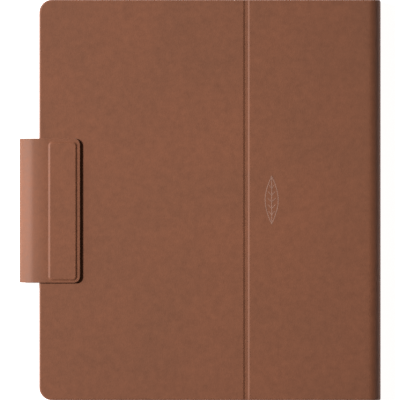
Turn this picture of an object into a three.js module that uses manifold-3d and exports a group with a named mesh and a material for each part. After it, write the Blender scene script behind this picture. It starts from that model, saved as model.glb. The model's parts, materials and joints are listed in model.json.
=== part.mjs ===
// A 10.3-inch e-reader lying screen up inside a closed leather folio. Sizes are in millimetres.
// X runs from the closing flap (-X) to the spine (+X), Y runs along the spine, and Z points up out
// of the screen. The origin is on the surface under the folio, at the middle of its outline.
import * as THREE from "three";
import { mergeVertices } from "three/addons/utils/BufferGeometryUtils.js";
import Module from "manifold-3d";

const wasm = await Module();
wasm.setup();

// ---- Folio: driving dimensions -----------------------------------------------------------------
const SPINE_X = 104.3; // outside of the spine
const FREE_EDGE_X = -92.7; // free edge of both covers
const FLAP_X = -104.3; // outside of the flap where it goes round the pen channel
const HALF_LENGTH = 115.5; // half of the covers' length along the spine
const CORNER_R = 7.5; // the covers' rounded free corners

const LEATHER = 0.8; // outer skin
const BOARD = 1.4; // stiff core of each cover
const LINING = 0.5; // soft inner skin
const AIR = 0.05; // glue line between stacked sheets
const RIM = 0.7; // leather turned round the edges of the board

const DEVICE_UNDER = 0.1; // between the back cover's lining and the device
const DEVICE_OVER = 0.2; // between the device and the front cover's lining
const DEVICE_THICK = 5.8;

const SPINE_R = 5.5; // outer bend radius at both edges of the spine
const CREASE_X = 26.75; // middle of the score line across the front cover
const CREASE_HALF = 2.15; // half of the groove's width
const CREASE_DEPTH = 0.9;
const CREASE_SKIN = 0.6; // leather left in the groove
const CREASE_SLIT = 0.1; // half of the slit between the two panels

const FLAP_Y = [-47.7, 35.5]; // the flap's two side edges
const FLAP_END_X = -69.2; // free end of the flap's tab
const FLAP_CORNER_R = 3.7;
const FLAP_LOW_R = 4.5; // outer bend radius where the flap leaves the back cover
const FLAP_HIGH_R = 8; // outer bend radius where it turns over the front cover
const FLAP_OVER = 0.3; // between the front cover and the tab's lining
const PAD_X = [-87.4, -70.7]; // raised pad on the tab
const PAD_Y = [-46.4, 33.6];
const PAD_RISE = 0.6;
const PAD_R = 2.2;
const PAD_WALL = 0.6;

const FOLD_GAP = 0.85; // along the skin, on both sides of a fold's axis
const ROUND_STEPS = 8; // facets in a quarter turn

// ---- Device: driving dimensions ----------------------------------------------------------------
const DEVICE_X = [-91.5, 99.5];
const DEVICE_HALF_Y = 112.75;
const DEVICE_R = 6;
const SHELL_WALL = 1.5;
const SHELL_FLOOR = 0.7;
const SHELL_EDGE = 0.9; // rounding between the shell's back and its sides
const SCREEN_X = [-83.2, 74]; // active area, with a wide grip border towards the spine
const SCREEN_HALF_Y = 104.8;

// ---- Heights worked out from the layers --------------------------------------------------------
const COVER_THICK = LEATHER + AIR + BOARD + AIR + LINING;
const DEVICE_Z = COVER_THICK + DEVICE_UNDER;
const DEVICE_TOP = DEVICE_Z + DEVICE_THICK;
const FRONT_Z = DEVICE_TOP + DEVICE_OVER; // inner face of the front cover
const FOLIO_TOP = FRONT_Z + COVER_THICK;
const SKIN = LEATHER + AIR + LINING; // the folio where it has no board
const TAB_Z = FOLIO_TOP + FLAP_OVER;
const TAB_TOP = TAB_Z + SKIN;

// ---- Solids ------------------------------------------------------------------------------------
const GRID = 0.01; // every corner sits on this grid, so faces meant to be flush really are

// The closed body of a list of corners and triangles, with the triangles that collapsed left out.
function solidOf(geometry) {
  geometry.deleteAttribute("normal");
  geometry.deleteAttribute("uv");
  const places = geometry.getAttribute("position").array;
  places.forEach((value, i) => {
    places[i] = Math.round(value / GRID) * GRID;
  });
  const merged = mergeVertices(geometry, 1e-4);
  const corners = Array.from(merged.index.array);
  const triangles = corners.filter((_, i) => {
    const [a, b, c] = corners.slice(i - (i % 3), i - (i % 3) + 3);
    return a !== b && b !== c && a !== c;
  });
  return new wasm.Manifold(
    new wasm.Mesh({
      numProp: 3,
      vertProperties: merged.attributes.position.array,
      triVerts: new Uint32Array(triangles),
    }),
  );
}

function geometryOf(solid) {
  const mesh = solid.getMesh();
  return new THREE.BufferGeometry()
    .setAttribute("position", new THREE.BufferAttribute(mesh.vertProperties, 3))
    .setIndex(new THREE.BufferAttribute(mesh.triVerts, 1));
}

// A rectangle with one radius for its two -X corners and another for its two +X corners.
function outline([x0, x1], [y0, y1], leftR, rightR) {
  const shape = new THREE.Shape();
  const corners = [
    [x1, y0, -1, 1, rightR, -90],
    [x1, y1, -1, -1, rightR, 0],
    [x0, y1, 1, -1, leftR, 90],
    [x0, y0, 1, 1, leftR, 180],
  ];
  corners.forEach(([x, y, inX, inY, r, fromDeg], i) => {
    const points = r > 0 ? arc(x + inX * r, y + inY * r, r, fromDeg, fromDeg + 90) : [[x, y]];
    points.forEach(([px, py], j) => {
      if (i === 0 && j === 0) shape.moveTo(px, py);
      else shape.lineTo(px, py);
    });
  });
  return shape;
}

// A flat plate between two heights.
function slab(xs, ys, [z0, z1], leftR = 0, rightR = leftR) {
  const geometry = new THREE.ExtrudeGeometry(outline(xs, ys, leftR, rightR), {
    depth: z1 - z0,
    bevelEnabled: false,
  });
  return solidOf(geometry.translate(0, 0, z0));
}

function disc(x, y, r, [z0, z1], sides = 20) {
  const geometry = new THREE.CylinderGeometry(r, r, z1 - z0, sides);
  return solidOf(geometry.rotateX(Math.PI / 2).translate(x, y, (z0 + z1) / 2));
}

// Points on an arc, both ends included; the angles are in degrees, counted from the first axis.
function arc(cx, cy, r, fromDeg, toDeg) {
  const steps = Math.max(2, Math.round((Math.abs(toDeg - fromDeg) / 90) * ROUND_STEPS));
  return Array.from({ length: steps + 1 }, (_, i) => {
    const a = THREE.MathUtils.degToRad(fromDeg + ((toDeg - fromDeg) * i) / steps);
    return [cx + r * Math.cos(a), cy + r * Math.sin(a)];
  });
}

// An outline in the XZ plane, carried along Y.
function alongY(points, [y0, y1]) {
  const shape = new THREE.Shape(points.map(([x, z]) => new THREE.Vector2(x, z)));
  const geometry = new THREE.ExtrudeGeometry(shape, { depth: y1 - y0, bevelEnabled: false });
  return solidOf(geometry.rotateX(Math.PI / 2).translate(0, y1, 0));
}

// A sheet of even thickness whose middle follows a path in the XZ plane, carried along Y.
function sheet(path, thickness, ys) {
  const middle = path.map(([x, z]) => new THREE.Vector2(x, z));
  const normalAfter = (i) => {
    const d = middle[i + 1].clone().sub(middle[i]).normalize();
    return new THREE.Vector2(-d.y, d.x);
  };
  const last = middle.length - 1;
  const side = (distance) =>
    middle.map((p, i) => {
      const before = normalAfter(Math.max(i - 1, 0));
      const after = normalAfter(Math.min(i, last - 1));
      const mitre = before.clone().add(after);
      mitre.multiplyScalar(distance / (1 + before.dot(after)));
      return [p.x + mitre.x, p.y + mitre.y];
    });
  const outlinePoints = [...side(thickness / 2), ...side(-thickness / 2).reverse()];
  return alongY(outlinePoints, ys);
}

// ---- Bends: the arcs of the folio's skin, seen along Y -----------------------------------------
// Depth of a layer's middle below the outer face of the skin.
const LEATHER_MID = LEATHER / 2;
const LINING_MID = LEATHER + AIR + LINING / 2;

const SPINE_CX = SPINE_X - SPINE_R;
const BENDS = {
  spineLow: { cx: SPINE_CX, cz: SPINE_R, r: SPINE_R, mid: -45 },
  spineHigh: { cx: SPINE_CX, cz: FOLIO_TOP - SPINE_R, r: SPINE_R, mid: 45 },
  flapLow: { cx: FLAP_X + FLAP_LOW_R, cz: FLAP_LOW_R, r: FLAP_LOW_R, mid: 225 },
  flapHigh: { cx: FLAP_X + FLAP_HIGH_R, cz: TAB_TOP - FLAP_HIGH_R, r: FLAP_HIGH_R, mid: 135 },
};

// One half of a bend, from an end angle to just short of the fold's axis at its middle.
function halfBend({ cx, cz, r, mid }, depth, endDeg) {
  const gapDeg = THREE.MathUtils.radToDeg(FOLD_GAP / (r - SKIN / 2));
  return arc(cx, cz, r - depth, endDeg, mid + Math.sign(endDeg - mid) * gapDeg);
}

// ---- The object --------------------------------------------------------------------------------
const LOOKS = {
  leather: { color: 0x85563f, roughness: 0.62, metalness: 0 },
  lining: { color: 0x6a5547, roughness: 0.95, metalness: 0 },
  board: { color: 0x9a948a, roughness: 0.9, metalness: 0 },
  steel: { color: 0xb9bcc0, roughness: 0.35, metalness: 0.9 },
  magnet: { color: 0xa8abb0, roughness: 0.3, metalness: 1 },
  shell: { color: 0x2b3038, roughness: 0.5, metalness: 0.1 },
  frame: { color: 0x333a44, roughness: 0.45, metalness: 0.2 },
  glass: { color: 0xdfe3e2, roughness: 0.35, metalness: 0 },
  mask: { color: 0x1f2023, roughness: 0.6, metalness: 0 },
  epaper: { color: 0xcfcfc8, roughness: 0.8, metalness: 0 },
  clear: { color: 0xe8eef0, roughness: 0.2, metalness: 0 },
  chassis: { color: 0x8d9096, roughness: 0.5, metalness: 0.8 },
  circuit: { color: 0x1f5c3a, roughness: 0.6, metalness: 0 },
  cell: { color: 0x3a3d42, roughness: 0.5, metalness: 0.2 },
  flex: { color: 0xb9722c, roughness: 0.5, metalness: 0.1 },
  black: { color: 0x1c1d20, roughness: 0.6, metalness: 0 },
};

const folio = new THREE.Group();
const device = new THREE.Group();
const eReader = new THREE.Group();
eReader.add(folio, device);

function add(group, name, solid, look) {
  const geometry = geometryOf(solidOf(geometryOf(solid))).toNonIndexed();
  geometry.computeVertexNormals();
  const mesh = new THREE.Mesh(geometry, new THREE.MeshStandardMaterial(LOOKS[look]));
  mesh.name = name;
  group.add(mesh);
}

// A cover's leather: a flat face with a rim turned round the board on every side but one.
function leatherTray([x0, x1], outer, inner, leftR, openRight) {
  const ys = [-HALF_LENGTH, HALF_LENGTH];
  const insideYs = [-HALF_LENGTH + RIM, HALF_LENGTH - RIM];
  const zs = [Math.min(outer, inner), Math.max(outer, inner)];
  const up = Math.sign(inner - outer);
  const face = outer + up * LEATHER;
  const pocketZ = up > 0 ? [face, inner + 1] : [inner - 1, face];
  const pocketX = openRight ? [x0 + RIM, x1 + 1] : [x0 - 1, x1 + 1];
  const pocketR = openRight ? leftR - RIM : 0;
  return slab([x0, x1], ys, zs, leftR, 0).subtract(
    slab(pocketX, insideYs, pocketZ, pocketR, 0),
  );
}

const FULL_Y = [-HALF_LENGTH, HALF_LENGTH];
const INSET = RIM + AIR; // boards and linings lie inside the turned rim
const INSET_Y = [-HALF_LENGTH + INSET, HALF_LENGTH - INSET];
const INSET_R = CORNER_R - INSET;
const BOARD_RIGHT = SPINE_CX - 0.8;
const RISER_X = SPINE_CX - 0.45; // where a lining steps round the board towards the spine
const ROOT_LAP = 1; // how far a bend reaches into the flat it joins

const BACK_BOARD_Z = [LEATHER + AIR, LEATHER + AIR + BOARD];
const BACK_LINING_Z = [COVER_THICK - LINING, COVER_THICK];
const FRONT_BOARD_Z = [FOLIO_TOP - BACK_BOARD_Z[1], FOLIO_TOP - BACK_BOARD_Z[0]];
const FRONT_LINING_Z = [FRONT_Z, FRONT_Z + LINING];

const HOLD_X = [-86.5, 94.5]; // magnets that hold the device to the back cover
const HOLD_Y = [-70, 70];
const HOLD_HALF = [2.5, 20];
const POCKET_GAP = 0.3;

function around(x, y, halfX, halfY, extra = 0) {
  return [
    [x - halfX - extra, x + halfX + extra],
    [y - halfY - extra, y + halfY + extra],
  ];
}

function holdPlaces() {
  return HOLD_X.flatMap((x) => HOLD_Y.map((y) => [x, y]));
}

function backCover() {
  const bendSpine = [
    [SPINE_CX - ROOT_LAP, LEATHER_MID],
    ...halfBend(BENDS.spineLow, LEATHER_MID, -90),
  ];
  const bendFlap = [
    [FREE_EDGE_X + ROOT_LAP, LEATHER_MID],
    ...halfBend(BENDS.flapLow, LEATHER_MID, 270),
  ];
  const leather = leatherTray([FREE_EDGE_X, SPINE_CX], 0, COVER_THICK, CORNER_R, true)
    .add(sheet(bendSpine, LEATHER, FULL_Y))
    .add(sheet(bendFlap, LEATHER, FLAP_Y));
  add(folio, "back_cover_leather", leather, "leather");

  let board = slab([FREE_EDGE_X + INSET, BOARD_RIGHT], INSET_Y, BACK_BOARD_Z, INSET_R, 0);
  for (const [x, y] of holdPlaces()) {
    const [xs, ys] = around(x, y, ...HOLD_HALF, POCKET_GAP);
    board = board.subtract(slab(xs, ys, [BACK_BOARD_Z[0] - 1, BACK_BOARD_Z[1] + 1], 1));
  }
  add(folio, "back_cover_board", board, "board");

  const liningBend = [
    [RISER_X - ROOT_LAP, COVER_THICK - LINING / 2],
    [RISER_X, COVER_THICK - LINING / 2],
    [RISER_X, LINING_MID],
    ...halfBend(BENDS.spineLow, LINING_MID, -90),
  ];
  const lining = slab([FREE_EDGE_X + INSET, RISER_X], INSET_Y, BACK_LINING_Z, INSET_R, 0).add(
    sheet(liningBend, LINING, INSET_Y),
  );
  add(folio, "back_cover_lining", lining, "lining");

  holdPlaces().forEach(([x, y], i) => {
    const [xs, ys] = around(x, y, ...HOLD_HALF);
    const zs = [BACK_BOARD_Z[0] + AIR, BACK_BOARD_Z[1] - AIR];
    add(folio, `folio_magnet_${i + 1}`, slab(xs, ys, zs, MAGNET_R), "magnet");
  });
}

function spine() {
  const halves = (depth) => [
    ...halfBend(BENDS.spineLow, depth, 0).reverse(),
    ...halfBend(BENDS.spineHigh, depth, 0),
  ];
  add(folio, "spine_leather", sheet(halves(LEATHER_MID), LEATHER, FULL_Y), "leather");
  add(folio, "spine_lining", sheet(halves(LINING_MID), LINING, INSET_Y), "lining");
}

// The leather in the groove: a step down from the face and a thin lip that reaches the slit.
function creaseLip(side) {
  const wall = CREASE_X + side * CREASE_HALF;
  const slit = CREASE_X + side * CREASE_SLIT;
  const span = (a, b) => [Math.min(a, b), Math.max(a, b)];
  const lipZ = [FOLIO_TOP - CREASE_DEPTH - CREASE_SKIN, FOLIO_TOP - CREASE_DEPTH];
  const step = slab(span(wall, wall + side * CREASE_SKIN), FULL_Y, [lipZ[0], FOLIO_TOP]);
  return step.add(slab(span(slit, wall + side * CREASE_SKIN), FULL_Y, lipZ));
}

const WAKE = { x: -60, y: 62, half: [3, 8] }; // magnet that wakes the device
const LATCH_THICK = 0.6; // steel plate the tab's magnets hold to
const LATCH_Z = [FRONT_BOARD_Z[1] - LATCH_THICK, FRONT_BOARD_Z[1] - AIR];
const MAGNET_R = 0.8;

function frontWide() {
  const right = CREASE_X - CREASE_HALF;
  const boardRight = right - CREASE_SKIN - POCKET_GAP;
  const leather = leatherTray([FREE_EDGE_X, right], FOLIO_TOP, FRONT_Z, CORNER_R, true);
  add(folio, "front_wide_leather", leather.add(creaseLip(-1)), "leather");

  const grow = ([a, b], by) => [a - by, b + by];
  const [wakeX, wakeY] = around(WAKE.x, WAKE.y, ...WAKE.half, POCKET_GAP);
  const board = slab([FREE_EDGE_X + INSET, boardRight], INSET_Y, FRONT_BOARD_Z, INSET_R, 0)
    .subtract(slab(wakeX, wakeY, [FRONT_BOARD_Z[0] - 1, FRONT_BOARD_Z[1] + 1]))
    .subtract(
      slab(grow(PAD_X, POCKET_GAP), grow(PAD_Y, POCKET_GAP), [LATCH_Z[0] - AIR, FOLIO_TOP]),
    );
  add(folio, "front_wide_board", board, "board");
  const liningX = [FREE_EDGE_X + INSET, CREASE_X - 2 * CREASE_SLIT];
  add(folio, "front_wide_lining", slab(liningX, INSET_Y, FRONT_LINING_Z, INSET_R, 0), "lining");

  const [magnetX, magnetY] = around(WAKE.x, WAKE.y, ...WAKE.half);
  const magnetZ = [FRONT_BOARD_Z[0] + AIR, FRONT_BOARD_Z[1] - AIR];
  add(folio, "wake_magnet", slab(magnetX, magnetY, magnetZ, MAGNET_R), "magnet");
  add(folio, "latch_plate", slab(PAD_X, PAD_Y, LATCH_Z, PAD_R), "steel");
}

function frontNarrow() {
  const left = CREASE_X + CREASE_HALF;
  const bend = [
    ...halfBend(BENDS.spineHigh, LEATHER_MID, 90).reverse(),
    [SPINE_CX - ROOT_LAP, FOLIO_TOP - LEATHER_MID],
  ];
  const leather = leatherTray([left, SPINE_CX], FOLIO_TOP, FRONT_Z, 0, false)
    .add(creaseLip(1))
    .add(sheet(bend, LEATHER, FULL_Y));
  add(folio, "front_narrow_leather", leather, "leather");

  const boardX = [left + CREASE_SKIN + POCKET_GAP, BOARD_RIGHT];
  add(folio, "front_narrow_board", slab(boardX, INSET_Y, FRONT_BOARD_Z), "board");

  const liningPath = [
    ...halfBend(BENDS.spineHigh, LINING_MID, 90).reverse(),
    [RISER_X, FOLIO_TOP - LINING_MID],
    [RISER_X, FRONT_Z + LINING / 2],
    [CREASE_X + 2 * CREASE_SLIT, FRONT_Z + LINING / 2],
  ];
  add(folio, "front_narrow_lining", sheet(liningPath, LINING, INSET_Y), "lining");
}

const TAB_LINING_INSET = 0.5;
const STIFFENER_R = 1.2;
const TAB_LEATHER_Z = [TAB_TOP - LEATHER, TAB_TOP];
const TAB_LINING_Z = [TAB_Z, TAB_Z + LINING];
const TAB_MAGNET_Y = [-27, 14];
const TAB_MAGNET_HALF = [4.5, 13];

function flap() {
  const anchor = [
    [FREE_EDGE_X - POCKET_GAP, LINING_MID],
    ...halfBend(BENDS.flapLow, LINING_MID, 270),
  ];
  add(folio, "flap_anchor_lining", sheet(anchor, LINING, FLAP_Y), "lining");

  const wall = (depth) => [
    ...halfBend(BENDS.flapLow, depth, 180).reverse(),
    ...halfBend(BENDS.flapHigh, depth, 180),
  ];
  add(folio, "flap_side_leather", sheet(wall(LEATHER_MID), LEATHER, FLAP_Y), "leather");
  add(folio, "flap_side_lining", sheet(wall(LINING_MID), LINING, FLAP_Y), "lining");

  const flatStart = BENDS.flapHigh.cx;
  const overBend = (depth) => [
    ...halfBend(BENDS.flapHigh, depth, 90).reverse(),
    [flatStart + ROOT_LAP, TAB_TOP - depth],
  ];
  const shrink = ([a, b], by) => [a + by, b - by];
  const pocketX = shrink(PAD_X, PAD_WALL);
  const pocketY = shrink(PAD_Y, PAD_WALL);
  const pocketZ = [TAB_LEATHER_Z[0] - 1, TAB_TOP + PAD_RISE - PAD_WALL];
  const leather = sheet(overBend(LEATHER_MID), LEATHER, FLAP_Y)
    .add(slab([flatStart, FLAP_END_X], FLAP_Y, TAB_LEATHER_Z, 0, FLAP_CORNER_R))
    .add(slab(PAD_X, PAD_Y, [TAB_LEATHER_Z[0] + AIR, TAB_TOP + PAD_RISE], PAD_R))
    .subtract(slab(pocketX, pocketY, pocketZ, PAD_R - PAD_WALL));
  add(folio, "flap_tab_leather", leather, "leather");

  const liningX = [flatStart, FLAP_END_X - TAB_LINING_INSET];
  const liningY = shrink(FLAP_Y, TAB_LINING_INSET);
  const liningR = FLAP_CORNER_R - TAB_LINING_INSET;
  const lining = sheet(overBend(LINING_MID), LINING, liningY).add(
    slab(liningX, liningY, TAB_LINING_Z, 0, liningR),
  );
  add(folio, "flap_tab_lining", lining, "lining");

  const coreZ = [TAB_LEATHER_Z[0] + AIR, pocketZ[1] - AIR];
  const padMidX = (PAD_X[0] + PAD_X[1]) / 2;
  let core = slab(shrink(pocketX, POCKET_GAP), shrink(pocketY, POCKET_GAP), coreZ, STIFFENER_R);
  for (const y of TAB_MAGNET_Y) {
    const [xs, ys] = around(padMidX, y, ...TAB_MAGNET_HALF, POCKET_GAP);
    core = core.subtract(slab(xs, ys, [coreZ[0] - 1, coreZ[1] + 1]));
  }
  add(folio, "tab_stiffener", core, "board");
  ["lower", "upper"].forEach((word, i) => {
    const [xs, ys] = around(padMidX, TAB_MAGNET_Y[i], ...TAB_MAGNET_HALF);
    add(folio, `tab_magnet_${word}`, slab(xs, ys, coreZ, MAGNET_R), "magnet");
  });
}

// ---- Device: the layers from the back up -------------------------------------------------------
const up = (mm) => DEVICE_Z + mm; // a height above the device's back
const FLOOR_Z = up(SHELL_FLOOR);
const SPLIT_Z = up(4.4); // where the rear shell meets the front frame
const CELL_Z = [FLOOR_Z + AIR, up(2.95)];
const CIRCUIT_Z = [up(1.3), up(2.1)];
const ON_CIRCUIT_Z = [CIRCUIT_Z[1] + AIR, up(2.95)];
const CHASSIS_Z = [up(3.05), up(3.45)];
const DIGITIZER_Z = [up(3.5), up(3.75)];
const EPAPER_Z = [up(3.8), up(4.35)];
const LIGHT_Z = [up(4.4), up(4.7)];
const TOUCH_Z = [up(4.75), up(4.9)];
const MASK_Z = [up(4.95), up(5.03)];
const LENS_Z = [up(5.08), up(5.7)];

const DEVICE_Y = [-DEVICE_HALF_Y, DEVICE_HALF_Y];
const inset = ([a, b], by) => [a + by, b - by];
const FRAME_RIM = 1.6;
const LENS_GAP = 0.15;
const PANEL_X = [SCREEN_X[0] - 1.3, SCREEN_X[1] + 1.3];
const PANEL_Y = [-SCREEN_HALF_Y - 1.2, SCREEN_HALF_Y + 1.2];

const SCREW_X = [-50, 20, 88];
const SCREW_Y = 108.6;
const SCREW_R = 0.9;
const SCREW_HEAD_R = 1.7;
const SCREW_HEAD_THICK = 0.7;
const SCREW_SLOT = { halfX: 1.1, halfY: 0.2, depth: 0.3 };
const BOSS_R = 2.1;
const BOSS_ROOT = 0.2; // how far a boss goes into the floor, and its bore stays off it
const THREAD_GAP = 0.3;

const BUTTON_X = [-79, -65];
const BUTTON_Z = [up(1.6), up(2.8)];
const BUTTON_Y = [DEVICE_HALF_Y - 2, DEVICE_HALF_Y + 0.35];
const BUTTON_FLANGE = 2;
const BUTTON_SLACK = 0.2; // between the button and its slot

const FLANGE_THICK = 0.5;
const FLANGE_Z = [up(1.15), up(2.95)];

const USB = { x: 0, z: up(2.45), halfX: 4.5, halfZ: 1.5, wall: 0.4, depth: 6.3, back: 0.8 };
const USB_SLACK = 0.15; // between the port and the shell
const TONGUE = { halfX: 3.2, halfZ: 0.35, setBack: 1 };
const SPEAKERS = { left: [-44, -16], right: [44, 72] };
const SPEAKER_Y = [-109, -97];
const GRILLE = { count: 6, first: 3, pitch: 4, width: 2 }; // sound slots in the shell's side
const GRILLE_Z = [up(1.6), up(2.6)];
const SIDE_OUT = 1; // how far a cut runs clear of the wall it goes through

function screwPlaces() {
  return [-SCREW_Y, SCREW_Y].flatMap((y) => SCREW_X.map((x) => [x, y]));
}

function rearShell() {
  const coreR = DEVICE_R - SHELL_EDGE;
  const shape = outline(inset(DEVICE_X, SHELL_EDGE), inset(DEVICE_Y, SHELL_EDGE), coreR, coreR);
  const rounded = new THREE.ExtrudeGeometry(shape, {
    depth: SPLIT_Z - DEVICE_Z - SHELL_EDGE,
    bevelSize: SHELL_EDGE,
    bevelThickness: SHELL_EDGE,
    bevelSegments: 3,
  });
  const cavityX = inset(DEVICE_X, SHELL_WALL);
  const cavityY = inset(DEVICE_Y, SHELL_WALL);
  let shell = solidOf(rounded.translate(0, 0, DEVICE_Z + SHELL_EDGE))
    .intersect(slab(DEVICE_X, DEVICE_Y, [DEVICE_Z, SPLIT_Z]))
    .subtract(slab(cavityX, cavityY, [FLOOR_Z, SPLIT_Z + 1], DEVICE_R - SHELL_WALL));

  for (const [x, y] of screwPlaces()) {
    const boss = disc(x, y, BOSS_R, [FLOOR_Z - BOSS_ROOT, CHASSIS_Z[0] - AIR]);
    const bore = disc(x, y, SCREW_R + THREAD_GAP, [FLOOR_Z + BOSS_ROOT, CHASSIS_Z[0] + 1], 12);
    shell = shell.add(boss).subtract(bore);
  }
  const buttonSlot = [
    [BUTTON_X[0] - BUTTON_SLACK, BUTTON_X[1] + BUTTON_SLACK],
    [DEVICE_HALF_Y - SHELL_WALL - SIDE_OUT, DEVICE_HALF_Y + SIDE_OUT],
    [BUTTON_Z[0] - BUTTON_SLACK, BUTTON_Z[1] + BUTTON_SLACK],
  ];
  const throughY = [-DEVICE_HALF_Y - SIDE_OUT, -DEVICE_HALF_Y + SHELL_WALL + SIDE_OUT];
  shell = shell.subtract(slab(...buttonSlot)).subtract(alongY(usbOutline(USB_SLACK), throughY));
  for (const [x0] of Object.values(SPEAKERS)) {
    for (let i = 0; i < GRILLE.count; i += 1) {
      const left = x0 + GRILLE.first + GRILLE.pitch * i;
      shell = shell.subtract(slab([left, left + GRILLE.width], throughY, GRILLE_Z));
    }
  }
  add(device, "rear_shell", shell, "shell");
}

// The rounded mouth of the charging port, grown outwards by an allowance.
function usbOutline(grow) {
  const halfZ = USB.halfZ + grow;
  const straight = USB.halfX + grow - halfZ;
  return [
    ...arc(USB.x + straight, USB.z, halfZ, -90, 90),
    ...arc(USB.x - straight, USB.z, halfZ, 90, 270),
  ];
}

function usbPort() {
  const mouthY = -DEVICE_HALF_Y + USB_SLACK;
  const backY = mouthY + USB.depth;
  const tongueX = [USB.x - TONGUE.halfX, USB.x + TONGUE.halfX];
  const tongueY = [mouthY + TONGUE.setBack, backY - USB.back / 2];
  const tongueZ = [USB.z - TONGUE.halfZ, USB.z + TONGUE.halfZ];
  const port = alongY(usbOutline(0), [mouthY, backY])
    .subtract(alongY(usbOutline(-USB.wall), [mouthY - SIDE_OUT, backY - USB.back]))
    .add(slab(tongueX, tongueY, tongueZ));
  add(device, "usb_port", port, "steel");
}

function frontParts() {
  const rimX = inset(DEVICE_X, FRAME_RIM);
  const rimY = inset(DEVICE_Y, FRAME_RIM);
  const rim = slab(DEVICE_X, DEVICE_Y, [SPLIT_Z + AIR, DEVICE_TOP], DEVICE_R).subtract(
    slab(rimX, rimY, [SPLIT_Z - 1, DEVICE_TOP + 1], DEVICE_R - FRAME_RIM),
  );
  add(device, "front_frame", rim, "frame");

  const lensX = inset(rimX, LENS_GAP);
  const lensY = inset(rimY, LENS_GAP);
  const lensR = DEVICE_R - FRAME_RIM - LENS_GAP;
  const screenY = [-SCREEN_HALF_Y, SCREEN_HALF_Y];
  add(device, "cover_lens", slab(lensX, lensY, LENS_Z, lensR), "glass");
  const window = slab(SCREEN_X, screenY, [MASK_Z[0] - 1, MASK_Z[1] + 1]);
  add(device, "border_mask", slab(lensX, lensY, MASK_Z, lensR).subtract(window), "mask");

  add(device, "touch_sensor", slab(inset(PANEL_X, -1), inset(PANEL_Y, -1), TOUCH_Z), "clear");
  add(device, "light_guide", slab(PANEL_X, PANEL_Y, LIGHT_Z), "clear");
  const lightBarX = [PANEL_X[1] + 0.3, PANEL_X[1] + 2.8];
  add(device, "light_bar", slab(lightBarX, inset(PANEL_Y, 4), LIGHT_Z), "circuit");
  add(device, "epaper_panel", slab(PANEL_X, PANEL_Y, EPAPER_Z), "epaper");
  add(device, "digitizer_board", slab(PANEL_X, PANEL_Y, DIGITIZER_Z), "circuit");
}

const CABLE_Y = [-20, 10];
const CABLE_X = PANEL_X[1] + 4.2; // where the display cable goes down through the chassis
const CABLE_THICK = 0.15;
const CABLE_LAP = 8; // how far the cable runs over the mainboard
const CHASSIS_GAP = 0.2; // between the chassis plate and the shell

function chassis() {
  const plateX = inset(DEVICE_X, SHELL_WALL + CHASSIS_GAP);
  const plateY = inset(DEVICE_Y, SHELL_WALL + CHASSIS_GAP);
  const through = [CHASSIS_Z[0] - 1, CHASSIS_Z[1] + 1];
  const notchX = [USB.x - USB.halfX - 1.5, USB.x + USB.halfX + 1.5];
  let plate = slab(plateX, plateY, CHASSIS_Z, DEVICE_R - SHELL_WALL - CHASSIS_GAP)
    .subtract(slab(notchX, [-DEVICE_HALF_Y, -DEVICE_HALF_Y + USB.depth + 1], through))
    .subtract(slab([CABLE_X - 0.6, CABLE_X + 0.6], inset(CABLE_Y, -1), through));
  for (const [x, y] of screwPlaces()) {
    plate = plate.subtract(disc(x, y, SCREW_R + THREAD_GAP, through, 12));
  }
  add(device, "chassis_plate", plate, "chassis");

  screwPlaces().forEach(([x, y], i) => {
    const headZ = [CHASSIS_Z[1] + AIR, CHASSIS_Z[1] + AIR + SCREW_HEAD_THICK];
    const head = disc(x, y, SCREW_HEAD_R, headZ, 16);
    const shank = disc(x, y, SCREW_R, [FLOOR_Z + 0.5, headZ[0] + 0.2], 12);
    const slotZ = [headZ[1] - SCREW_SLOT.depth, headZ[1] + 1];
    const slot = slab(...around(x, y, SCREW_SLOT.halfX, SCREW_SLOT.halfY), slotZ);
    add(device, `frame_screw_${i + 1}`, head.add(shank).subtract(slot), "steel");
  });
}

const CELL_Y = [-60, 48];
const CELLS = { left: [-68, -5], right: [-1, 62] };
const BOARD_Y = [56, 105];
const BOARD_LEG_X = [66, 89];
const BOARD_LEFT = -81;
const CELL_CABLE = { x: [-9, 3], z: [up(1.5), up(1.9)] };
const PROCESSOR = [[-22, 14], [64, 97]];
const RADIO = [[30, 54], [70, 97]];
const ANTENNA = [[30, 78], [107.6, 110.4], [up(1.3), up(2.5)]];

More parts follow.
